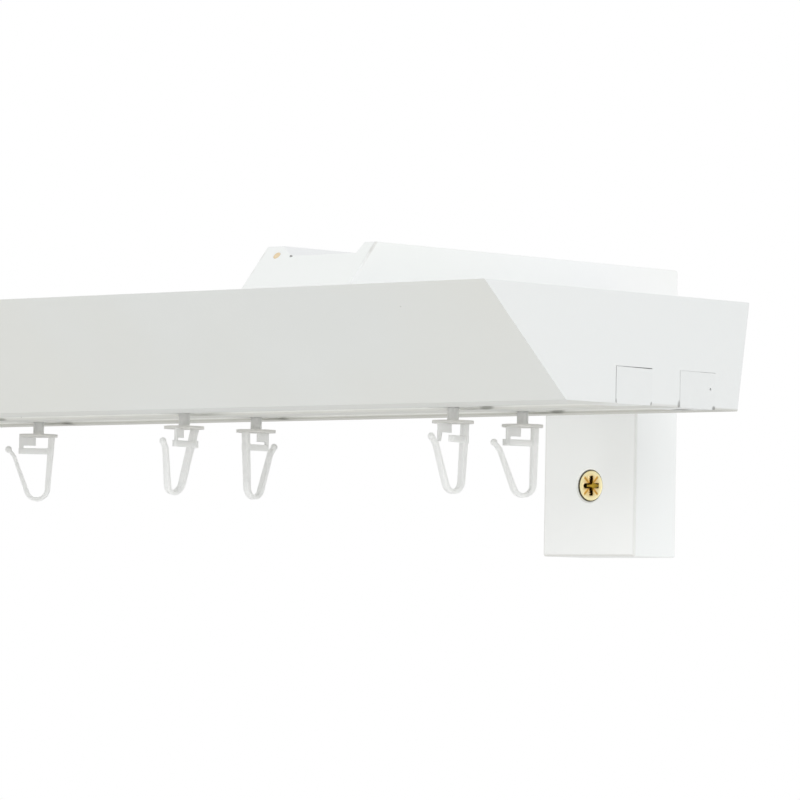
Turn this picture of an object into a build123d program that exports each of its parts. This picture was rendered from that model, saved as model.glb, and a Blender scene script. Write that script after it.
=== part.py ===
"""Double curtain track: a lacquered timber rail with two runs of gliders, carried by two wall brackets.

Millimetres. X runs along the rail, -Y points into the room, +Z is up. The origin lies on the wall,
midway between the two wall screws.
"""

import os
from math import atan2, cos, degrees, radians, sin

from build123d import *

# Rail section
rail_length = 800.0
rail_height = 30.0
rail_underside_depth = 71.0
front_lean = 33.0  # the front face leans out this far between its lower and upper edge
back_lean = 4.5
rail_arris = 0.4  # on all long edges but the one under the arms' front ends
rail_wall_gap = 31.0  # from the wall to the rail's upper back edge
rail_above_screws = 19.0  # the underside's height above the wall screws

# Grooves in the underside
groove_width = 15.0
groove_depth = 10.0
front_lip_depth = 20.0
web_depth = 11.5

# Channels pressed into the grooves
channel_side_gap = 0.1
channel_height = 8.5
channel_wall = 1.2
slot_width = 5.0

# End plugs
plug_length = 12.0
plug_seams = {"front": 0.3, "rear": 0.16}  # open towards the room, each plug pushed the other way
plug_top_gaps = {"front": (0.07, 0.24), "rear": (0.03, 0.08)}  # a little askew, wider towards the wall
plug_arris = 0.8
pin_hole_radius = 0.35
pin_hole_depth = 0.8
pin_hole_from_edge = 2.1
pin_hole_height = 5.5

# Brackets: a block on the wall and an arm over the rail
bracket_inset = 68.0  # from the end of the rail to the middle of its bracket
block_width = 34.0
block_thickness = 18.0
block_below_screw = 20.0
block_arris = 0.6
arm_width = 40.0
arm_thickness = 12.0
arm_front_cut = 10.0  # the front end slopes back this far over the arm's thickness
arm_wall_gap = 4.5
arm_arris = 0.8
arm_groove_width = 24.0  # across its floor
arm_groove_depth = 3.0
arm_groove_rim = 5.8  # width of the rim on the left of the groove
arm_groove_left_slant = 5.4  # how far the groove's left wall leans out over its depth
arm_groove_right_slant = 0.7

# Screws
thread_gap = 0.05
recess_width = 1.2
recess_depth = 1.2
recess_share = 0.6  # the cross recess reaches over this share of the head
screw_point = 0.9  # the point's length, in shank diameters
head_sink = 0.3  # the heads lie this far below the wood
wall_screw_length = 16.0
wall_screw_radius = 2.25
wall_screw_head_radius = 4.3
wall_head_sink = 0.7
wall_hole_gap = 0.25
wood_screw_radius = 2.0
wood_screw_head_radius = 3.9
rail_screw_length = 26.0
block_screw_length = 45.0
rail_screw_insets = (30.0, 78.0)  # from the arm's lower front edge
block_screw_spacing = 14.0

# Brass pin in the front end of each arm
arm_pin_radius = 1.1
arm_pin_length = 12.0
arm_pin_below_top = 2.7
arm_pin_from_left = 5.6

# Gliders
gliders_per_run = 8
rear_stations = (63.0, 166.0, 257.0)  # from the right end of the rail
front_stations = (65.0, 169.0, 262.0)
parked_gap = 0.5  # the last glider of each run stands this far from its plug
rear_turns = (81.4, 276.4, 44.0, 205.0, 62.0, 118.0, 31.0, 94.0)
front_turns = (87.3, 94.5, 152.0, 40.0, 224.0, 67.0, 109.0, 55.0)
rear_swings = (12.0, 2.0, 2.0, 6.0, 3.0, 8.0, 4.0, 7.0)  # how far each open hook gives about its leg
front_swings = (0.0, 0.0, 5.0, 3.0, 7.0, 4.0, 6.0, 2.0)
runner_length = 17.0
runner_side_gap = 0.3
runner_lift = 0.1
runner_height = 5.4
keel_side_gap = 0.35
keel_above_underside = 0.3

# Swivel hooks
stem_radius = 1.6
stem_gap = 0.08
head_radius = 3.0
head_thickness = 1.8
head_gap = 0.3
head_seat_gap = 0.05
head_seat_height = 2.6  # from the runner's sole up to the floor of its counterbore
disc_radius = 5.75
disc_thickness = 0.8
disc_drop = 3.3  # from the rail's underside down to the disc
plate_left = -5.75  # the small plate under the disc, from its outer edge
plate_thickness = 0.6
plate_length = 5.0
plate_height = 2.6
lip_width = 1.4  # where it leaves the plate
lip_point = 0.9  # at its lower end
bar_height = 1.75
bar_width = 1.6
bar_drop = 4.3  # from the disc's underside down to the middle of the bar
bar_reach = 9.9  # from the leg's axis to the bar's free end
bar_corner = 0.5
lip_above_bar_bottom = 0.1
knuckle_length = 1.9
knuckle_shift = 0.3  # from the top of the leg's axis towards the bar's free end
knuckle_width = 2.4
knuckle_height = 2.05
knuckle_corner = 0.6

# Open hook: its side view, from the top of its leg's axis, with a knob at the tip
hook_leg = 4.05  # from the stem's axis to the leg where it leaves the disc
hook_side_step = 0.6  # the leg stands this far beside the plate
hook_depth = 2.0
hook_leg_width = 1.9
hook_arris = 0.35
outer_corner = (-1.62, -34.2)
outer_bend = (-11.65, -6.2)
outer_tip = (-13.2, -4.35)
outer_radius = 3.94
inner_corner = (-2.42, -26.9)
inner_bend = (-10.93, -5.3)
inner_tip = (-12.65, -3.5)
inner_radius = 2.41
knob_place = (-12.95, -3.85)
knob_radius = 1.0
sprung_bars = {"front_hook_1": 22.0, "front_hook_2": 3.8}  # these bars have turned back about the leg
turned_plates = {"front_hook_2": 14.8}  # the hanger plate has turned on from the hook
tilted_hooks = {"rear_hook_1": 2.5}  # in the open hook's own plane
bent_hooks = {"front_hook_2": 13.0}  # this hook has been bent sideways

# Derived places
half_length = rail_length / 2
underside = rail_above_screws
rail_top = underside + rail_height
back_top = -rail_wall_gap
back_bottom = back_top - back_lean
front_bottom = back_bottom - rail_underside_depth
front_top = front_bottom - front_lean
groove_ceiling = underside + groove_depth
front_groove = front_bottom + front_lip_depth + groove_width / 2
rear_groove = front_groove + groove_width + web_depth
channel_sole = groove_ceiling - channel_height
arm_top = rail_top + arm_thickness
arm_floor = arm_top - arm_groove_depth
arm_back = -arm_wall_gap
groove_shift = arm_groove_rim + arm_groove_left_slant + arm_groove_width / 2 - arm_width / 2
bracket_places = {"right": half_length - bracket_inset, "left": bracket_inset - half_length}
runs = {"front": front_groove, "rear": rear_groove}
ends = {"right": 1, "left": -1}

os.makedirs("parts", exist_ok=True)


def save(piece, name):
    piece.label = name
    export_step(piece, f"parts/{name}.step")


# Timber rail: one section with two grooves, run along X
with BuildPart() as rail:
    with BuildSketch(Plane.YZ.offset(-half_length)) as section:
        with BuildLine():
            Polyline(
                (front_bottom, underside),
                (back_bottom, underside),
                (back_top, rail_top),
                (front_top, rail_top),
                close=True,
            )
        make_face()
        fillet(section.vertices().sort_by(Axis.X)[1:], radius=rail_arris)
        with Locations(*[(y, underside + groove_depth / 2) for y in runs.values()]):
            Rectangle(groove_width, groove_depth, mode=Mode.SUBTRACT)
    extrude(amount=rail_length)
    for bracket_x in bracket_places.values():
        for inset in rail_screw_insets:
            with Locations((bracket_x + groove_shift, front_top + inset, rail_top)):
                Hole(
                    radius=wood_screw_radius + thread_gap,
                    depth=rail_screw_length - (arm_floor - head_sink - rail_top) + thread_gap,
                )
save(rail.part, "rail_body")


# Channels: a C section in each groove, from plug to plug, with its slot downwards
channel_length = rail_length - 2 * plug_length
channel_width = groove_width - 2 * channel_side_gap
channel_inside = channel_width - 2 * channel_wall
channel_middle = channel_sole + channel_height / 2
for run, run_y in runs.items():
    with BuildPart() as channel:
        with BuildSketch(Plane.YZ.offset(-channel_length / 2)):
            with Locations((run_y, channel_middle)):
                Rectangle(channel_width, channel_height)
                Rectangle(channel_inside, channel_height - 2 * channel_wall, mode=Mode.SUBTRACT)
            with Locations((run_y, channel_sole + channel_wall / 2)):
                Rectangle(slot_width, channel_wall, mode=Mode.SUBTRACT)
        extrude(amount=channel_length)
    save(channel.part, f"{run}_channel")


# End plugs: they fill the grooves flush with the rail's ends and stop the gliders
for run, run_y in runs.items():
    plug_front = run_y - groove_width / 2 + plug_seams[run]
    plug_back = run_y + groove_width / 2
    for end, sign in ends.items():
        with BuildPart() as plug:
            with BuildSketch(Plane.YZ.offset(sign * half_length)) as plug_section:
                with BuildLine():
                    Polyline(
                        (plug_front, underside),
                        (plug_back, underside),
                        (plug_back, groove_ceiling - plug_top_gaps[run][1]),
                        (plug_front, groove_ceiling - plug_top_gaps[run][0]),
                        close=True,
                    )
                make_face()
                fillet(plug_section.vertices().group_by(Axis.Y)[0], radius=plug_arris)
            extrude(amount=-sign * plug_length)
            if run == "rear":
                pin_y = plug_back - pin_hole_from_edge
                face = Plane(
                    origin=(sign * half_length, pin_y, underside + pin_hole_height),
                    z_dir=(sign, 0, 0),
                )
                with Locations(face):
                    Hole(radius=pin_hole_radius, depth=pin_hole_depth)
        save(plug.part, f"{run}_{end}_plug")


# Countersunk wood screw on a plane: its origin is the middle of the head, its Z axis points out of the wood
def wood_screw(place, radius, head_radius, length):
    head_height = head_radius - radius
    point_length = screw_point * 2 * radius
    side = Plane(origin=place.origin, x_dir=place.x_dir, z_dir=-place.y_dir)
    with BuildPart() as screw:
        with BuildSketch(side):
            with BuildLine():
                Polyline(
                    (0, 0),
                    (head_radius, 0),
                    (radius, -head_height),
                    (radius, -length + point_length),
                    (0, -length),
                    close=True,
                )
            make_face()
        revolve(axis=Axis(place.origin, place.z_dir))
        with BuildSketch(place):
            Rectangle(2 * head_radius * recess_share, recess_width)
            Rectangle(recess_width, 2 * head_radius * recess_share)
        extrude(amount=-recess_depth, mode=Mode.SUBTRACT)
    return screw.part


# Brackets: the two sides are the same parts
sink_angle = 90  # the heads' cones are a right angle across
wall_screw_places = []
rail_screw_places = []
block_screw_places = []
slope = degrees(atan2(arm_front_cut, arm_thickness))
slope_normal = (0, -cos(radians(slope)), sin(radians(slope)))
pin_places = []
for side_name, bracket_x in bracket_places.items():
    block_front = Plane(origin=(bracket_x, -block_thickness, 0), x_dir=(1, 0, 0), z_dir=(0, -1, 0))
    block_screw_y = (arm_back - block_thickness) / 2
    groove_x = bracket_x + groove_shift
    groove_left = groove_x - arm_groove_width / 2
    groove_right = groove_x + arm_groove_width / 2
    block_screw_xs = (groove_x - block_screw_spacing / 2, groove_x + block_screw_spacing / 2)

    with BuildPart() as block:
        with BuildSketch(Plane.XY.offset(-block_below_screw)):
            with Locations((bracket_x, -block_thickness / 2)):
                Rectangle(block_width, block_thickness)
        extrude(amount=rail_top + block_below_screw)
        fillet(block.edges().filter_by(Axis.Z), radius=block_arris)
        fillet(block.edges().group_by(Axis.Z)[0], radius=block_arris)
        with Locations(block_front):
            CounterSinkHole(
                radius=wall_screw_radius + wall_hole_gap,
                counter_sink_radius=wall_screw_head_radius + wall_head_sink,
                counter_sink_angle=sink_angle,
            )
        with Locations(*[Plane(origin=(x, block_screw_y, rail_top)) for x in block_screw_xs]):
            Hole(
                radius=wood_screw_radius + thread_gap,
                depth=block_screw_length - (arm_floor - head_sink - rail_top) + thread_gap,
            )
    save(block.part, f"{side_name}_wall_block")

    with BuildPart() as arm:
        with BuildSketch(Plane.YZ.offset(bracket_x - arm_width / 2)) as arm_side:
            with BuildLine():
                Polyline(
                    (front_top, rail_top),
                    (arm_back, rail_top),
                    (arm_back, arm_top),
                    (front_top + arm_front_cut, arm_top),
                    close=True,
                )
            make_face()
            fillet(arm_side.vertices().group_by(Axis.Y)[-1], radius=arm_arris)
        extrude(amount=arm_width)
        with BuildSketch(Plane.XZ.offset(-arm_back)):
            with BuildLine():
                Polyline(
                    (groove_left, arm_floor),
                    (groove_right, arm_floor),
                    (groove_right + arm_groove_right_slant, arm_top),
                    (groove_left - arm_groove_left_slant, arm_top),
                    close=True,
                )
            make_face()
        extrude(amount=arm_back - front_top, mode=Mode.SUBTRACT)
        rail_holes = [(groove_x, front_top + inset, arm_floor) for inset in rail_screw_insets]
        block_holes = [(x, block_screw_y, arm_floor) for x in block_screw_xs]
        with Locations(*rail_holes, *block_holes):
            CounterSinkHole(
                radius=wood_screw_radius + wall_hole_gap,
                counter_sink_radius=wood_screw_head_radius + head_sink,
                counter_sink_angle=sink_angle,
            )
        pin_x = bracket_x - arm_width / 2 + arm_pin_from_left
        pin_y = front_top + arm_front_cut * (1 - arm_pin_below_top / arm_thickness)
        pin_place = Plane(
            origin=(pin_x, pin_y, arm_top - arm_pin_below_top), x_dir=(1, 0, 0), z_dir=slope_normal
        )
        with Locations(pin_place):
            Hole(radius=arm_pin_radius + thread_gap, depth=arm_pin_length + thread_gap)
    save(arm.part, f"{side_name}_arm")

    wall_screw_places.append(block_front.offset(-wall_head_sink))
    rail_screw_places += [Plane(origin=place).offset(-head_sink) for place in rail_holes]
    block_screw_places += [Plane(origin=place).offset(-head_sink) for place in block_holes]
    pin_places.append(pin_place)

screw_sets = {
    "wall_screws": (wall_screw_places, wall_screw_radius, wall_screw_head_radius, wall_screw_length),
    "rail_screws": (rail_screw_places, wood_screw_radius, wood_screw_head_radius, rail_screw_length),
    "block_screws": (block_screw_places, wood_screw_radius, wood_screw_head_radius, block_screw_length),
}
for set_name, (places, radius, head, length) in screw_sets.items():
    save(Compound(children=[wood_screw(place, radius, head, length) for place in places]), set_name)


# Brass pins, flush with the sloping front ends of the arms
with BuildPart() as pins:
    for place in pin_places:
        with BuildSketch(place):
            Circle(arm_pin_radius)
        extrude(amount=-arm_pin_length)
save(Compound(children=pins.part.solids()), "arm_pins")


# Runner: a saddle inside the channel with a keel through the slot, bored for the hook's stem
runner_sole = channel_sole + channel_wall + runner_lift
runner_width = channel_inside - 2 * runner_side_gap
keel_width = slot_width - 2 * keel_side_gap
keel_bottom = underside + keel_above_underside
seat = runner_sole + head_seat_height


def runner_at(x, y):
    with BuildPart() as runner:
        with BuildSketch(Plane.XY.offset(runner_sole)):
            with Locations((x, y)):
                SlotOverall(runner_length, runner_width)
        extrude(amount=runner_height)
        with BuildSketch(Plane.XY.offset(keel_bottom)):
            with Locations((x, y)):
                SlotOverall(runner_length, keel_width)
        extrude(amount=runner_sole - keel_bottom)
        with BuildSketch(Plane.XY.offset(keel_bottom)):
            with Locations((x, y)):
                Circle(stem_radius + stem_gap)
        extrude(amount=runner_sole + runner_height - keel_bottom, mode=Mode.SUBTRACT)
        with BuildSketch(Plane.XY.offset(seat)):
            with Locations((x, y)):
                Circle(head_radius + head_gap)
        extrude(amount=runner_height, mode=Mode.SUBTRACT)
    return runner.part


# Swivel hook: head and stem in the runner, a disc below the rail, a plate with a lip and a bar, an open hook
disc_top = underside - disc_drop
disc_bottom = disc_top - disc_thickness
head_bottom = seat + head_seat_gap


# The open hook alone, flat and with the top of its leg's axis at the origin
with BuildPart() as open_hook:
    with BuildSketch():
        with BuildLine():
            outer = FilletPolyline(
                (hook_leg_width / 2, disc_thickness / 2),
                outer_corner,
                outer_bend,
                outer_tip,
                radius=outer_radius,
            )
            inner = FilletPolyline(
                (-hook_leg_width / 2, disc_thickness / 2),
                inner_corner,
                inner_bend,
                inner_tip,
                radius=inner_radius,
            )
            Line(outer @ 0, inner @ 0)
            Line(outer @ 1, inner @ 1)
        make_face()
    extrude(amount=hook_depth / 2, both=True)
    side_edges = open_hook.edges().group_by(Axis.Z)
    fillet(
        [edge for edge in side_edges[0] + side_edges[-1] if edge.center().Y < 0],
        radius=hook_arris,
    )
    with Locations(knob_place):
        Sphere(knob_radius)


def hook_at(x, y, turn, swing, hook_name):
    along = Vector(1, 0, 0).rotate(Axis.Z, turn)
    across = Vector(0, -1, 0).rotate(Axis.Z, turn)
    swung_along = along.rotate(Axis.Z, -swing)
    swung_across = across.rotate(Axis.Z, -swing)
    hook_face = swung_across.rotate(Axis((0, 0, 0), swung_along), bent_hooks.get(hook_name, 0))
    flat = Plane(origin=(x, y, disc_bottom), x_dir=along, z_dir=(0, 0, 1))
    plate_plane = Plane(
        origin=flat.origin,
        x_dir=along.rotate(Axis.Z, turned_plates.get(hook_name, 0)),
        z_dir=across.rotate(Axis.Z, turned_plates.get(hook_name, 0)),
    )
    leg_top = flat.from_local_coords((hook_leg, -hook_side_step, 0))
    bar_plane = Plane(
        origin=leg_top - Vector(0, 0, bar_drop),
        x_dir=(-swung_along).rotate(Axis.Z, sprung_bars.get(hook_name, 0)),
        z_dir=(0, 0, 1),
    )
    hook_plane = Plane(
        origin=leg_top,
        x_dir=swung_along.rotate(Axis((0, 0, 0), hook_face), tilted_hooks.get(hook_name, 0)),
        z_dir=hook_face,
    )
    lip_bottom = lip_above_bar_bottom - bar_drop - bar_height / 2
    with BuildPart() as hook:
        with BuildSketch(flat):
            Circle(disc_radius)
        extrude(amount=disc_thickness)
        with BuildSketch(flat):
            Circle(stem_radius)
        extrude(amount=head_bottom - disc_bottom)
        with BuildSketch(flat.offset(head_bottom - disc_bottom)):
            Circle(head_radius)
        extrude(amount=head_thickness)
        with BuildSketch(plate_plane):
            with BuildLine():
                Polyline(
                    (plate_left, 0),
                    (plate_left, lip_bottom),
                    (plate_left + lip_point, lip_bottom),
                    (plate_left + lip_width, -plate_height),
                    (plate_left + plate_length, -plate_height),
                    (plate_left + plate_length, 0),
                    close=True,
                )
            make_face()
        extrude(amount=plate_thickness / 2, both=True)
        with BuildSketch(bar_plane):
            with Locations((bar_reach / 2, 0)):
                RectangleRounded(bar_reach, bar_width, bar_corner)
        extrude(amount=bar_height / 2, both=True)
        with BuildSketch(bar_plane):
            with Locations((knuckle_shift, 0)):
                RectangleRounded(knuckle_length, knuckle_width, knuckle_corner)
        extrude(amount=knuckle_height / 2, both=True)
        with Locations(hook_plane.location):
            add(open_hook.part)
    return hook.part


# Stations of the gliders along X, the last of each run parked at the left plug
parked = rail_length - plug_length - parked_gap - runner_length / 2
glider_sets = {
    "rear": (rear_stations, rear_turns, rear_swings),
    "front": (front_stations, front_turns, front_swings),
}
for run, (seen, turns, swings) in glider_sets.items():
    unseen = gliders_per_run - len(seen)
    step = (parked - seen[-1]) / unseen
    stations = [*seen, *[seen[-1] + step * (k + 1) for k in range(unseen)]]
    for number, (station, turn, swing) in enumerate(zip(stations, turns, swings), start=1):
        glider_x = half_length - station
        save(runner_at(glider_x, runs[run]), f"{run}_runner_{number}")
        hook_name = f"{run}_hook_{number}"
        save(hook_at(glider_x, runs[run], turn, swing, hook_name), hook_name)
    print(run, "stations", [round(station, 1) for station in stations])
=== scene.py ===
# %% [markdown]
# # A double curtain track in white lacquer
# The object is a timber rail with a sloping front and two grooves in its underside. Gliders with swivel
# hooks run in the grooves, and two brackets, each a block on the wall with an arm over the rail, carry it.
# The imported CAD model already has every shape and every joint, so it is the frame of this scene. Building the
# rail again here would only bring errors, so this lesson dresses it: finishes, light and a camera.

# %% Load the frame
from math import pi

import bpy
import numpy as np
from mathutils import Matrix, Vector


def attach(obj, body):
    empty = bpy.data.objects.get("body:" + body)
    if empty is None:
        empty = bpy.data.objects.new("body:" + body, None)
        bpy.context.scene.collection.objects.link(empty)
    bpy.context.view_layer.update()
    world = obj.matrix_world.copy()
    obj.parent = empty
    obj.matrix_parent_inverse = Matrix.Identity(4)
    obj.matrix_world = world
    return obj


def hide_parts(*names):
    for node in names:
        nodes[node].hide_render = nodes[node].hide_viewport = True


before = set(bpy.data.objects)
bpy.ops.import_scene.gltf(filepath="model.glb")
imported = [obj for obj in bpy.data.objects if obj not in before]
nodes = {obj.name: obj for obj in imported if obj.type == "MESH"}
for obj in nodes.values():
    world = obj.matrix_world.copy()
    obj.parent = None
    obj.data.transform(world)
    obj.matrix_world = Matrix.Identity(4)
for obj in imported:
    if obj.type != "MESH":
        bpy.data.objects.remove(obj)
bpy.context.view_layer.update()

# %% [markdown]
# ## Colours
# A colour picked from a picture is an sRGB value, but a shader works with linear light. Typing the sRGB
# numbers straight in would make every white too bright, so one function turns a hex code to linear.

# %% Hex colours to linear light
def linear(hex_code, alpha=1.0):
    """Each channel c in 0..1 becomes c / 12.92 up to 0.04045, and above it ((c + 0.055) / 1.055) ** 2.4."""
    c = np.array([int(hex_code[i:i + 2], 16) for i in (1, 3, 5)]) / 255
    out = np.where(c <= 0.04045, c / 12.92, ((c + 0.055) / 1.055) ** 2.4)
    return (*out.tolist(), alpha)


print("mid grey", [round(v, 3) for v in linear("#808080")])

# %% [markdown]
# ## Adding nodes
# A material is a small graph. Writing it by hand takes three lines for each node: make it, set its choices,
# link its inputs. One helper does the three, and the graph can then be read from top to bottom.

# %% The node helper
def add(tree, kind, inputs=None, **settings):
    """Adds one node. Inputs are plain values or output sockets to link; settings are its own choices."""
    made = tree.nodes.new(kind)
    for name, value in settings.items():
        setattr(made, name, value)
    for key, value in (inputs or {}).items():
        if isinstance(value, bpy.types.NodeSocket):
            tree.links.new(value, made.inputs[key])
        else:
            made.inputs[key].default_value = value
    return made


def blend(tree, factor, first, second):
    """One colour between two: first where the factor is 0, second where it is 1."""
    mix = add(tree, "ShaderNodeMix", {0: factor, 6: first, 7: second}, data_type="RGBA")
    return mix.outputs[2]


def measure(tree, operation, *inputs):
    """One step of vector arithmetic; a length or a dot product comes out as a number."""
    step = add(tree, "ShaderNodeVectorMath", dict(enumerate(inputs)), operation=operation)
    return step.outputs[1 if operation in ("LENGTH", "DOT_PRODUCT") else 0]


def figure(tree, operation, *inputs):
    """One step of arithmetic on numbers."""
    return add(tree, "ShaderNodeMath", dict(enumerate(inputs)), operation=operation).outputs[0]


def ramp(tree, value, start, end, low, high):
    """A number that goes from low to high while the value goes from start to end, and stays there."""
    step = add(tree, "ShaderNodeMapRange", {"Value": value, "From Min": start, "From Max": end,
                                            "To Min": low, "To Max": high})
    return step.outputs["Result"]


def new_material(name):
    """A material with an empty graph and its output node."""
    material = bpy.data.materials.new(name)
    material.use_nodes = True
    material.node_tree.nodes.clear()
    return material, material.node_tree, material.node_tree.nodes.new("ShaderNodeOutputMaterial")


def along(tree, place, axis):
    """How far a point lies along an axis, or across any unit direction: their dot product."""
    return measure(tree, "DOT_PRODUCT", place, axis)


def plane_gap(tree, place, normal, offset):
    """How far a point lies from a plane, on either side of it: | normal . place - offset |."""
    return figure(tree, "ABSOLUTE", figure(tree, "SUBTRACT", along(tree, place, normal), offset))


mm = 0.001
x_axis, y_axis, z_axis = (1.0, 0.0, 0.0), (0.0, 1.0, 0.0), (0.0, 0.0, 1.0)
print("helpers ready")

# %% [markdown]
# ## Marks on the lacquer
# A coat of lacquer draws back from a sharp edge while it dries, so the wood shows through there as a thin
# brownish line, and a painted shade fills the gap round a screw head. Such marks belong to places on the object
# and not to a pattern, so each one is measured: a mask is the distance in millimetres to an edge or to a
# circle.
# The two brackets are alike, and taking X without its sign marks both at once.

# %% Places on the object
bracket_x, block_half, arm_half = 332 * mm, 17 * mm, 20 * mm
block_front, block_sole = -18 * mm, -20 * mm
slope_normal, slope_offset = (0.0, -0.7682, 0.6402), 138.54 * mm
lip_y, wall_side_y = -96 * mm, -40 * mm
worn_width = 0.8 * mm
print("brackets at", bracket_x, "m from the middle")

# %% Masks measured on the object
def bracket_side(tree, place, half):
    """How far a point lies from the nearer side face of its bracket: | | |X| - middle | - half |."""
    x = add(tree, "ShaderNodeSeparateXYZ", {0: place}).outputs["X"]
    from_middle = figure(tree, "SUBTRACT", figure(tree, "ABSOLUTE", x), bracket_x)
    return figure(tree, "ABSOLUTE", figure(tree, "SUBTRACT", figure(tree, "ABSOLUTE", from_middle), half))


def near_edge(tree, first, second, width, strength):
    """Two planes meet in an edge; the distance to it is the root of the two squared gaps.

    The mark keeps its full strength over the first 0.4 of its width and fades over the rest.
    """
    both = add(tree, "ShaderNodeCombineXYZ", {"X": first, "Y": second})
    return ramp(tree, measure(tree, "LENGTH", both.outputs[0]), 0.4 * width, width, strength, 0.0)


def block_marks(tree, place):
    """Worn arrises on the block's front: its two upright edges, and more strongly its lower one."""
    front_gap = plane_gap(tree, place, y_axis, block_front)
    sole_gap = plane_gap(tree, place, z_axis, block_sole)
    upright = near_edge(tree, bracket_side(tree, place, block_half), front_gap, worn_width, 0.2)
    sole = near_edge(tree, front_gap, sole_gap, worn_width, 0.3)
    return figure(tree, "MAXIMUM", upright, sole)


def arm_marks(tree, place):
    """Worn arrises on both sides of the arm's sloping front end, broken by noise over 7 mm."""
    slope_gap = plane_gap(tree, place, slope_normal, slope_offset)
    line = near_edge(tree, bracket_side(tree, place, arm_half), slope_gap, worn_width, 0.3)
    breaks = add(tree, "ShaderNodeTexNoise", {"Vector": place, "Scale": 1 / (7 * mm)})
    return figure(tree, "MULTIPLY", line, ramp(tree, breaks.outputs["Fac"], 0.42, 0.6, 0.0, 1.0))


def spots(*patches):
    """A mask with soft round or long patches: each is a place, three half sizes in mm and a strength."""
    def mask(tree, place):
        total = 0.0
        for middle, half_sizes, strength in patches:
            offset = measure(tree, "SUBTRACT", place, tuple(v * mm for v in middle))
            scaled = measure(tree, "DIVIDE", offset, tuple(v * mm for v in half_sizes))
            patch = ramp(tree, measure(tree, "LENGTH", scaled), 0.45, 1.0, strength, 0.0)
            total = figure(tree, "MAXIMUM", total, patch)
        return total
    return mask


def across_wall_screw(tree, place):
    """The point seen from its wall screw's axis: sideways, up, and the distance in that plane."""
    split = add(tree, "ShaderNodeSeparateXYZ", {0: place})
    sideways = figure(tree, "SUBTRACT", figure(tree, "ABSOLUTE", split.outputs["X"]), bracket_x)
    both = add(tree, "ShaderNodeCombineXYZ", {"X": sideways, "Z": split.outputs["Z"]})
    return sideways, split.outputs["Z"], measure(tree, "LENGTH", both.outputs[0])


def painted_screw_gap_shade(tree, place):
    """Painted shade in the gap round the wall screw's head: out to 4.5 mm from its axis, behind the block's
    front.
    """
    ring = ramp(tree, across_wall_screw(tree, place)[2], 4.45 * mm, 4.65 * mm, 1.0, 0.0)
    depth = along(tree, place, y_axis)
    inside = ramp(tree, depth, block_front + 0.05 * mm, block_front + 0.15 * mm, 0.0, 1.0)
    return figure(tree, "MULTIPLY", ring, inside)


def amber_film(tree, place):
    """Strong round the cross recess and in the four ticks, where | |sideways| - |up| | is small."""
    sideways, above, radius = across_wall_screw(tree, place)
    off_diagonal = figure(tree, "ABSOLUTE", figure(
        tree, "SUBTRACT", figure(tree, "ABSOLUTE", sideways), figure(tree, "ABSOLUTE", above)))
    tick = figure(tree, "MULTIPLY", ramp(tree, off_diagonal, 0.3 * mm, 0.7 * mm, 1.0, 0.0),
                  ramp(tree, radius, 3.3 * mm, 3.8 * mm, 1.0, 0.0))
    middle = ramp(tree, radius, 1.8 * mm, 3.8 * mm, 0.7, 0.0)
    return figure(tree, "MAXIMUM", tick, middle)


print("marks ready")

# %% [markdown]
# ## White lacquer on timber
# The rail, blocks and arms are planed timber under a sprayed white polyurethane lacquer, rubbed down between
# coats. From a step away it is an even, slightly warm white with a satin sheen. Closer, the coat is a little
# cloudy, the grain telegraphs through as long shallow ripples, and a few dust pits of half a millimetre show.
# The rail's top keeps the plain white and its ends take a slightly greyer tone; its sloping front and underside
# carry a painted shade, a darker tone for faces that look down, and its groove walls and back a painted light,
# a whiter tone. A photograph of paint would tile, and could not follow the rail's length. Noise on Object
# coordinates keeps one real scale on all pieces, and a Mapping node draws the grain out along each piece.

# %% Sizes of the lacquer's patterns
cloud_size, stain_size, pit_spacing = 28 * mm, 75 * mm, 13 * mm
ripple_size = 1.4 * mm  # real pores are finer, and would not show
print("clouds over", cloud_size, "m, ripples over", ripple_size, "m")

# %% The lacquer
def facing(tree, direction):
    """1 on faces that look along the direction or against it, and 0 on those that turn 15 degrees from it."""
    normal = add(tree, "ShaderNodeTexCoord").outputs["Normal"]
    match = figure(tree, "ABSOLUTE", along(tree, normal, direction))
    return ramp(tree, match, 0.965, 0.985, 0.0, 1.0)


def painted_underside_shade(tree, place):
    """Painted shade on the underside, greying it from the front lip towards the wall side."""
    towards_wall = ramp(tree, along(tree, place, y_axis), lip_y, wall_side_y, 0.0, 1.0)
    low = ramp(tree, along(tree, place, z_axis), 19.3 * mm, 19.8 * mm, 1.0, 0.0)
    return figure(tree, "MULTIPLY", towards_wall, low)


def unshaded_top(tree, place):
    """1 on the rail's top, the one face that keeps the plain white, free of the rail's painted shade."""
    return ramp(tree, along(tree, place, z_axis), 48.9 * mm, 48.98 * mm, 0.0, 1.0)


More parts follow.
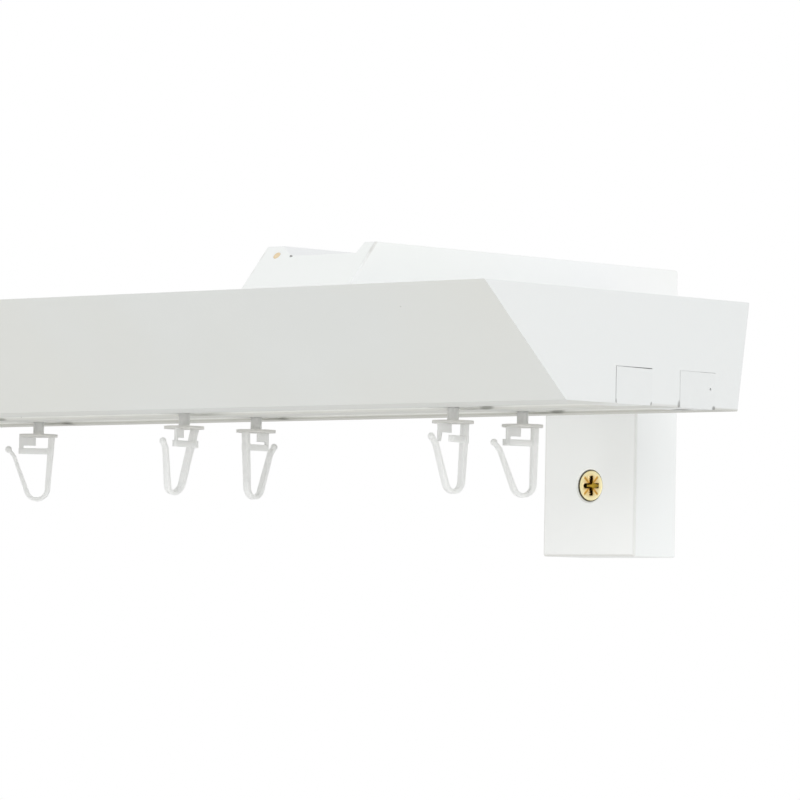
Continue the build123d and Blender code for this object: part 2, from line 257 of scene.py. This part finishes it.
def lacquer(name, grain, shade, cloud, aged, faces=(), marks=()):
    """Shade and cloud mix over 28 mm, and aged, a yellower tone, comes through in patches of 75 mm.

    Grain is the scale of the ripples per axis: low along the grain, high across it. Faces are pairs of a
    direction and the tone of the faces that look along it, and marks are pairs of a mask and its colour.
    """
    material, tree, output = new_material(name)
    place = add(tree, "ShaderNodeTexCoord").outputs["Object"]
    mottle = add(tree, "ShaderNodeTexNoise", {"Vector": place, "Scale": 1 / cloud_size, "Detail": 3.0})
    coat = blend(tree, mottle.outputs["Fac"], linear(shade), linear(cloud))
    stain = add(tree, "ShaderNodeTexNoise", {"Vector": place, "Scale": 1 / stain_size, "Detail": 1.0})
    coat = blend(tree, ramp(tree, stain.outputs["Fac"], 0.45, 0.7, 0.0, 0.6), coat, linear(aged))
    for direction, tone in faces:
        coat = blend(tree, facing(tree, direction), coat, linear(tone))
    cells = add(tree, "ShaderNodeTexVoronoi", {"Vector": place, "Scale": 1 / pit_spacing})
    pit = ramp(tree, cells.outputs["Distance"], 0.014, 0.026, 0.4, 0.0)
    coat = blend(tree, pit, coat, linear("#8E8C82"))
    for mark, colour in marks:
        coat = blend(tree, mark(tree, place), coat, linear(colour))
    drawn_out = add(tree, "ShaderNodeMapping", {"Vector": place, "Scale": grain})
    ripple = add(tree, "ShaderNodeTexNoise", {"Vector": drawn_out.outputs["Vector"],
                                              "Scale": 1 / ripple_size, "Detail": 2.0})
    relief = add(tree, "ShaderNodeBump", {"Height": ripple.outputs["Fac"], "Strength": 0.12,
                                          "Distance": 0.02 * mm})
    paint = add(tree, "ShaderNodeBsdfPrincipled", {
        "Base Color": coat, "Roughness": ramp(tree, mottle.outputs["Fac"], 0.0, 1.0, 0.42, 0.55), "IOR": 1.5,
        "Normal": relief.outputs["Normal"]})
    tree.links.new(paint.outputs["BSDF"], output.inputs["Surface"])
    return material


# Painted shadows behind the gliders and at the rail's end, and painted shade in each arm's groove corner
painted_glider_shadows = spots(
    ((343.3, -45, 19.6), (3.2, 2, 0.9), 0.5), ((340.7, -71.5, 19.5), (3.0, 2, 0.9), 0.5),
    ((147.5, -44, 19.0), (3.4, 2, 1.0), 0.6), ((237.5, -44, 19.0), (3.0, 2, 0.9), 0.5),
    ((146.5, -71, 19.0), (3.0, 2, 0.9), 0.5), ((400, -60.2, 19.6), (1.5, 0.8, 1.6), 0.5))
painted_corner_shade = spots(((323.3, -131.9, 58.1), (0.8, 0.8, 0.8), 0.85),
               ((-340.7, -131.9, 58.1), (0.8, 0.8, 0.8), 0.85))
near_black, bare_wood = "#2E2A22", "#8A7F6C"
along_x, along_y, along_z = (0.04, 1.0, 1.0), (1.0, 0.04, 1.0), (1.0, 1.0, 0.04)
# Painted shade on the rail's sloping front and underside, painted light on its groove walls and back
rail_lacquer = lacquer(
    "white_lacquer_along_the_rail", along_x, "#DADCDA", "#D7D9D7", "#D8D8D2",
    faces=[(x_axis, "#E2E4E3"), (y_axis, "#F6F7F5")],
    marks=[(unshaded_top, "#F0F2F1"), (painted_underside_shade, "#C6C6C0"), (painted_glider_shadows, near_black)])
# The arm's sloping front end takes a painted shade, a tone a touch darker than its sides
arm_lacquer = lacquer(
    "white_lacquer_along_the_arm", along_y, "#F4F5F4", "#F1F2F1", "#EEF0EB",
    faces=[(slope_normal, "#F3F5F2")],
    marks=[(arm_marks, bare_wood), (painted_corner_shade, near_black)])
# The faces that look along Y, the block's front and back, take a painted light, a whiter tone
block_lacquer = lacquer(
    "white_lacquer_up_the_block", along_z, "#F5F7F6", "#F2F4F3", "#F0F2ED",
    faces=[(y_axis, "#F9FAF9")],
    marks=[(block_marks, bare_wood), (painted_screw_gap_shade, "#3A3320")])
print("lacquers", rail_lacquer.name, arm_lacquer.name, block_lacquer.name)

# %% [markdown]
# ## Moulded plastics
# The channels are extruded white PVC, the end plugs are PVC painted with the rail, and the runners and hooks
# are moulded acetal: white, a little translucent where it is thin, smooth from the mould. Acetal has an IOR
# near 1.48 and a low, even gloss. Plain diffuse paint would leave the thin hooks hard and dark. Light that
# travels 3 mm under the skin and a share that passes right through give them their soft look.

# %% Sizes of the plastics' patterns
patch_size, depth_under_skin = 6 * mm, 3 * mm
skin_size = 0.5 * mm  # a real mould's texture is finer, and would not show
print("patches over", patch_size, "m, skin over", skin_size, "m")

# %% The plastics
def moulded(name, colour, worn, rough, glow=0.0, through=0.0, marks=()):
    """Two close tones in patches of 6 mm and a fine mould texture.

    Glow is light carried under the skin; through is the share of light that a thin wall lets pass.
    """
    material, tree, output = new_material(name)
    place = add(tree, "ShaderNodeTexCoord").outputs["Object"]
    patch = add(tree, "ShaderNodeTexNoise", {"Vector": place, "Scale": 1 / patch_size, "Detail": 2.0})
    tone = blend(tree, patch.outputs["Fac"], linear(colour), linear(worn))
    for mark, dark in marks:
        tone = blend(tree, mark(tree, place), tone, linear(dark))
    skin = add(tree, "ShaderNodeTexNoise", {"Vector": place, "Scale": 1 / skin_size})
    relief = add(tree, "ShaderNodeBump", {"Height": skin.outputs["Fac"], "Strength": 0.1,
                                          "Distance": 0.01 * mm})
    plastic = add(tree, "ShaderNodeBsdfPrincipled", {
        "Base Color": tone, "Roughness": rough, "IOR": 1.48,
        "Subsurface Weight": glow, "Subsurface Radius": (1.0, 1.0, 1.0), "Subsurface Scale": depth_under_skin,
        "Normal": relief.outputs["Normal"]})
    passing = add(tree, "ShaderNodeBsdfTranslucent", {"Color": tone})
    both = add(tree, "ShaderNodeMixShader", {0: through, 1: plastic.outputs[0], 2: passing.outputs[0]})
    tree.links.new(both.outputs[0], output.inputs["Surface"])
    return material


def disc_band(tree, place):
    """The hooks' thin discs, from 14.9 to 15.7 mm up, which take a darker, warmer tone."""
    return ramp(tree, plane_gap(tree, place, z_axis, 15.3 * mm), 0.4 * mm, 0.5 * mm, 1.0, 0.0)


# Dark patches at the lower ends of the seams round the plugs
plug_foot = spots(((391.9, -49.5, 19.0), (3.6, 3.4, 0.8), 0.95), ((400, -45.6, 19.3), (1.5, 0.9, 0.9), 0.6),
                  ((400, -86.6, 19.4), (1.5, 0.8, 1.2), 0.5), ((400, -71.6, 19.3), (1.5, 0.8, 0.9), 0.5))
channel_pvc = moulded("white_pvc_channel", "#E2E2DC", "#D8D8D1", 0.45)
plug_pvc = moulded("white_painted_plug", "#E2E4E3", "#DFE1E0", 0.45, marks=[(plug_foot, near_black)])
runner_acetal = moulded("white_acetal_runner", "#E6E8E4", "#DDDFDB", 0.35, glow=0.2)
hook_acetal = moulded("white_acetal_hook", "#FCFDFC", "#F9FAF9", 0.38, glow=1.0, through=0.3,
                      marks=[(disc_band, "#E4E3DF")])
print("plastics", channel_pvc.name, plug_pvc.name, runner_acetal.name, hook_acetal.name)

# %% [markdown]
# ## Metals
# The screws are steel with a yellow zinc passivation: a thin film that shifts from straw to a faint green
# or pink. The pins in the arms are plain brass, dulled by handling. Both are metals, so the colour goes in
# the base colour with metallic at 1, and the film's shift is low-contrast noise between neighbouring hues.

# %% The metals
def plated(name, colour, drift, rough, size, film_place=None):
    """A metal whose colour drifts between two hues over patches of the given size in metres.

    Where a mask is given as film_place, a deeper amber lies over both.
    """
    material, tree, output = new_material(name)
    place = add(tree, "ShaderNodeTexCoord").outputs["Object"]
    film = add(tree, "ShaderNodeTexNoise", {"Vector": place, "Scale": 1 / size, "Detail": 2.0})
    hue = blend(tree, film.outputs["Fac"], linear(colour), linear(drift))
    if film_place:
        hue = blend(tree, film_place(tree, place), hue, linear("#CF9C45"))
    haze = ramp(tree, film.outputs["Fac"], 0.0, 1.0, rough, rough + 0.15)
    metal = add(tree, "ShaderNodeBsdfPrincipled", {"Base Color": hue, "Roughness": haze, "Metallic": 1.0})
    tree.links.new(metal.outputs["BSDF"], output.inputs["Surface"])
    return material


yellow_zinc = plated("yellow_zinc_plated_steel", "#FFF9D8", "#FBE9A8", 0.3, 1.6 * mm, amber_film)
# The walls of the cross recess take a painted shade, near black
painted_recess_shade = plated("painted_shade_cross_recess", "#3A2A10", "#241A0C", 0.4, 0.8 * mm)
recess_floor = plated("bright_recess_floor", "#C9AE35", "#9A7438", 0.3, 1.2 * mm)
dull_brass = plated("dull_brass", "#F0E2C6", "#DFC69C", 0.4, 0.8 * mm)
print("metals", yellow_zinc.name, dull_brass.name)

# %% [markdown]
# ## Screws
# A countersunk wood screw is a blank with a cold-pressed head, a cross recess punched into it and a thread
# rolled on. A plain cone with a cross-shaped hole would miss the thread, the tapering recess and the four
# diagonal ticks that mark this kind of recess. All of them are changes of height or radius on a turned body,
# so one sheet of points in rings does it: on the face the height sinks, and on the shank the radius falls
# between the crests of the thread.

# %% The screws' sizes in mm
bar_half_width, bar_wall, bar_end_wall = 0.7, 0.3, 0.25
middle_half_width, middle_reach = 1.3, 1.6
tick_half_width, tick_wall, tick_start, tick_past_bar = 0.2, 0.1, 1.9, 0.8
recess_depth, recess_rise, tick_depth = 1.5, 0.3, 0.12
recess_reach = 0.66  # share of the head's radius that the cross takes up
wall_shade_depth, floor_shade_depth = 0.3, 1.1
thread_pitch, thread_depth = 1.8, 0.45
print("recess", recess_depth, "mm deep, thread pitch", thread_pitch, "mm")

# %% One screw as a sheet of rings
def cross_depth(x, y, half_length):
    """How deep the face lies at x and y: a tapering cross with a wider middle, and four shallow ticks.

    The cross is where the smaller of |x| and |y| is below half a bar's width and the larger below its half
    length. The same test on axes turned by 45 degrees gives the ticks.
    """
    small, large = np.minimum(abs(x), abs(y)), np.maximum(abs(x), abs(y))
    bars = (np.clip((bar_half_width - small) / bar_wall, 0, 1)
            * np.clip((half_length - large) / bar_end_wall, 0, 1))
    middle = (np.clip((middle_half_width - small - 0.55 * large) / bar_wall, 0, 1)
              * (large < middle_reach))
    u, v = (x + y) / np.sqrt(2), (x - y) / np.sqrt(2)
    small, far = np.minimum(abs(u), abs(v)), np.maximum(abs(u), abs(v))
    ticks = (np.clip((tick_half_width - small) / tick_wall, 0, 1)
             * (far > tick_start) * (far < half_length + tick_past_bar))
    return (np.maximum(bars, middle) * (recess_depth - recess_rise * large / half_length)
            + tick_depth * ticks)


def screw_sheet(radius, head, length, angles=72):
    """Rings from the middle of the face to the point, in mm; the axis is Z and the face lies at Z = 0.

    The thread's radius falls from its crest by the thread's depth times the sawtooth of Z over the pitch
    plus the angle over a full turn, so that its crest climbs as a helix. It returns the points, the four
    corners of each face, and each face's shade: 0 plated, 1 the recess's walls, 2 its floor.
    """
    face = np.linspace(0.0, head - 0.2, 30)
    cone = np.linspace(0.0, 1.0, 6)
    shank = np.arange(0.0, length - (head - radius) - 1.8 * radius, 0.3)
    point = np.linspace(0.0, 1.0, 9)
    ring_radius = np.concatenate([face, [head - 0.05], head - cone * (head - radius),
                                  np.full(shank.size, radius), radius * (1 - 0.97 * point)])
    start = head - radius + shank[-1] + 0.3
    ring_height = -np.concatenate([np.zeros(face.size), [0.04], 0.12 + cone * (head - radius - 0.12),
                                   head - radius + shank + 0.1, start + point * (length - start)])
    angle = np.arange(angles) * 2 * pi / angles
    grid_radius, grid_angle = np.meshgrid(ring_radius, angle, indexing="ij")
    height = np.repeat(ring_height[:, None], angles, 1)
    threaded = np.clip((-height - (head - radius) - 1.0) / 1.5, 0, 1) * (grid_radius > 0.1)
    saw = abs(((height / thread_pitch + grid_angle / (2 * pi)) % 1.0) * 2 - 1)
    grid_radius = grid_radius - thread_depth * saw * threaded * np.clip(grid_radius / radius, 0, 1)
    x, y = grid_radius * np.cos(grid_angle), grid_radius * np.sin(grid_angle)
    on_face = np.arange(ring_radius.size)[:, None] < face.size
    sunk = cross_depth(x, y, recess_reach * head) * on_face
    points = np.stack([x, y, height - sunk], -1)
    first = np.arange(ring_radius.size - 1)[:, None] * angles + np.arange(angles)
    after = np.arange(ring_radius.size - 1)[:, None] * angles + (np.arange(angles) + 1) % angles
    quads = np.stack([first, first + angles, after + angles, after], -1).reshape(-1, 4)
    depth = sunk.ravel()[quads].mean(1)
    shade = (depth > wall_shade_depth).astype(np.int32) + (depth > floor_shade_depth)
    return points.reshape(-1, 3), quads, shade


def screw_set(node, radius, head, length, places, face_out):
    """One piece with a screw at each place in mm; face_out is the matrix that turns Z to the head's side."""
    points, quads, shade = screw_sheet(radius, head, length)
    placed = np.array(places)[:, None, :] + (points @ np.array(face_out).T)[None]
    faces = quads[None] + (np.arange(len(places)) * len(points))[:, None, None]
    mesh = bpy.data.meshes.new(node + "_turned")
    mesh.from_pydata((placed.reshape(-1, 3) * mm).tolist(), [], faces.reshape(-1, 4).tolist())
    for finish in (yellow_zinc, painted_recess_shade, recess_floor):
        mesh.materials.append(finish)
    mesh.polygons.foreach_set("material_index", np.tile(shade, len(places)).astype(np.int32))
    mesh.polygons.foreach_set("use_smooth", np.ones(len(mesh.polygons), dtype=bool))
    piece = bpy.data.objects.new(node + "_turned", mesh)
    bpy.context.scene.collection.objects.link(piece)
    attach(piece, "track")
    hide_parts(node)
    return piece


# %% The three sets of screws
upwards = ((1, 0, 0), (0, 1, 0), (0, 0, 1))
to_the_room = ((1, 0, 0), (0, 0, -1), (0, 1, 0))
sides = (332, -332)
# Radius, head radius and length of each kind
wall_size, rail_size, block_size = (2.25, 4.3, 16), (2.0, 3.9, 26), (2.0, 3.9, 45)
wall_face_y, rail_rows, block_row, block_spread = -17.3, (-109.5, -61.5), -11.25, (-7, 7)
# The arm's groove lies to one side of its middle, and the screws' faces lie just under its floor
groove_shift, face_height = 3.2, 57.7
wall_screws = screw_set("wall_screws", *wall_size, [(x, wall_face_y, 0) for x in sides], to_the_room)
rail_screws = screw_set(
    "rail_screws", *rail_size,
    [(x + groove_shift, y, face_height) for x in sides for y in rail_rows], upwards)
block_screws = screw_set(
    "block_screws", *block_size,
    [(x + groove_shift + s, block_row, face_height) for x in sides for s in block_spread], upwards)
print("screw faces", [len(piece.data.polygons) for piece in (wall_screws, rail_screws, block_screws)])

# %% [markdown]
# ## Dressing the CAD nodes
# Every node keeps its shape and its place and takes its finish through its material slots. The names say
# what each node is, so a short table of the words in them is enough to dress them all.

# %% Give each node its finish
finishes = {
    "rail_body": rail_lacquer, "_channel": channel_pvc, "_plug": plug_pvc, "_wall_block": block_lacquer,
    "_arm": arm_lacquer, "_screws": yellow_zinc, "arm_pins": dull_brass, "_runner_": runner_acetal,
    "_hook_": hook_acetal,
}
for name, node in nodes.items():
    finish = next(material for word, material in finishes.items() if word in name)
    for slot in node.material_slots:
        slot.material = finish
print("dressed", len(nodes), "nodes with", len(finishes), "finishes")

# %% [markdown]
# ## Floor and light
# The object hangs from a wall that the picture leaves out, so a plain pale floor well below it is all the
# stage there is. The floor is one-sided: a camera below it looks through its back, since the underside is the
# side that holds the gliders. White paint shows form only by small steps in brightness: a broad soft source
# from the upper right makes the end and the block lighter than the sloping front, which leans over and faces
# down, and the painted shade on the rail's front and the painted light on the block's front add to that step.
# A low one in front and one at the right reach under the rail to the block, and one just above the floor
# stands for the light that a white table throws back. Four area lamps, hidden from the camera, and an even
# sky do that. The sky is pure white to the camera, to mirrors and through glass, and a plain level of light
# to everything else, so the white background adds nothing to the object.

# %% The floor
def floor_sheet(half, height, steps=12):
    """A square grid from -half to half in X and Y at one height."""
    line = np.linspace(-half, half, steps + 1)
    x, y = np.meshgrid(line, line)
    points = np.stack([x.ravel(), y.ravel(), np.full(x.size, height)], 1)
    first = (np.arange(steps)[:, None] * (steps + 1) + np.arange(steps)).ravel()
    quads = np.stack([first, first + 1, first + steps + 2, first + steps + 1], 1)
    mesh = bpy.data.meshes.new("floor")
    mesh.from_pydata(points.tolist(), [], quads.tolist())
    return mesh


floor_half, floor_height = 12.0, -0.6  # metres
floor = bpy.data.objects.new("floor", floor_sheet(floor_half, floor_height))
bpy.context.scene.collection.objects.link(floor)
floor_paint, tree, output = new_material("pale_matt_floor")
speck = add(tree, "ShaderNodeTexNoise", {"Vector": add(tree, "ShaderNodeTexCoord").outputs["Object"],
                                         "Scale": 8.0})
pale = blend(tree, speck.outputs["Fac"], linear("#F2F1ED"), linear("#EEEDE9"))
matt = add(tree, "ShaderNodeBsdfPrincipled", {"Base Color": pale, "Roughness": 0.9})
below = figure(tree, "MULTIPLY", add(tree, "ShaderNodeNewGeometry").outputs["Backfacing"],
               add(tree, "ShaderNodeLightPath").outputs["Is Camera Ray"])
nothing = add(tree, "ShaderNodeBsdfTransparent")
one_sided = add(tree, "ShaderNodeMixShader", {0: below, 1: matt.outputs["BSDF"], 2: nothing.outputs["BSDF"]})
tree.links.new(one_sided.outputs[0], output.inputs["Surface"])
floor.data.materials.append(floor_paint)
print("floor at", floor_height, "m")

# %% The sky
world = bpy.data.worlds.new("studio")
bpy.context.scene.world = world
world.use_nodes = True
sky = world.node_tree
sky.nodes.clear()
rays = add(sky, "ShaderNodeLightPath").outputs
seen = figure(sky, "MAXIMUM", rays["Is Camera Ray"], rays["Is Glossy Ray"])
seen = figure(sky, "MAXIMUM", seen, rays["Is Transmission Ray"])
fill_strength = 0.71
backdrop = add(sky, "ShaderNodeBackground", {"Color": (1, 1, 1, 1), "Strength": 1.0})
fill = add(sky, "ShaderNodeBackground", {"Color": linear("#FBFCFF"), "Strength": fill_strength})
split = add(sky, "ShaderNodeMixShader", {0: seen, 1: fill.outputs[0], 2: backdrop.outputs[0]})
sky.links.new(split.outputs[0], add(sky, "ShaderNodeOutputWorld").inputs["Surface"])
print("sky fills at", fill_strength)

# %% The lamps
def softbox(name, place, aim, size, power):
    """A square area lamp whose -Z looks at its aim; places and size in metres, power in watts."""
    lamp = bpy.data.lights.new(name, "AREA")
    lamp.size = size
    lamp.energy = power
    box = bpy.data.objects.new(name, lamp)
    box.location = place
    box.visible_camera = False
    box.rotation_euler = (Vector(aim) - Vector(place)).to_track_quat("-Z", "Y").to_euler()
    bpy.context.scene.collection.objects.link(box)
    return box


softbox("key_softbox", place=(2.6, -1.6, 1.5), aim=(0.2, 0.0, 0.0), size=1.8, power=27)
softbox("low_front_softbox", place=(-0.2, -3.0, -0.2), aim=(0.2, 0.0, 0.0), size=1.2, power=12)
softbox("right_softbox", place=(3.4, -0.2, -0.05), aim=(0.3, 0.0, 0.0), size=1.2, power=12)
softbox("table_bounce", place=(0.1, -0.7, floor_height + 0.02), aim=(0.1, -0.7, 0.0), size=1.6, power=2.4)
print("four softboxes")

# %% [markdown]
# ## Camera
# The picture was taken with a long lens from the right, a little below the rail. Fitting the lens and place
# to the rail's corners gave the numbers here, and building the rotation from the view's own three directions
# is exact, where aiming at a point would lose the slight roll.

# %% The camera
yaw, pitch, roll = 0.7462291574, 0.0458961193, 0.0176903529  # radians
camera_place = (1.39781, -1.25008, -0.05155)  # metres
focal_pixels, picture_pixels, sensor_mm = 5769.14, 800, 36.0
forward = Vector((-np.sin(yaw) * np.cos(pitch), np.cos(yaw) * np.cos(pitch), np.sin(pitch)))
right = Vector((np.cos(yaw), np.sin(yaw), 0.0))
up = right.cross(forward)
level_right = right * np.cos(roll) + up * np.sin(roll)
level_up = up * np.cos(roll) - right * np.sin(roll)
turn = Matrix((level_right, level_up, -forward)).transposed().to_4x4()
lens = bpy.data.cameras.new("camera")
lens.sensor_width = sensor_mm
lens.lens = focal_pixels / picture_pixels * sensor_mm
lens.clip_end = 50.0
camera = bpy.data.objects.new("camera", lens)
camera.matrix_world = Matrix.Translation(camera_place) @ turn
bpy.context.scene.collection.objects.link(camera)
bpy.context.scene.camera = camera
bpy.context.scene.view_settings.view_transform = "Standard"
print("lens", round(lens.lens, 2), "mm")
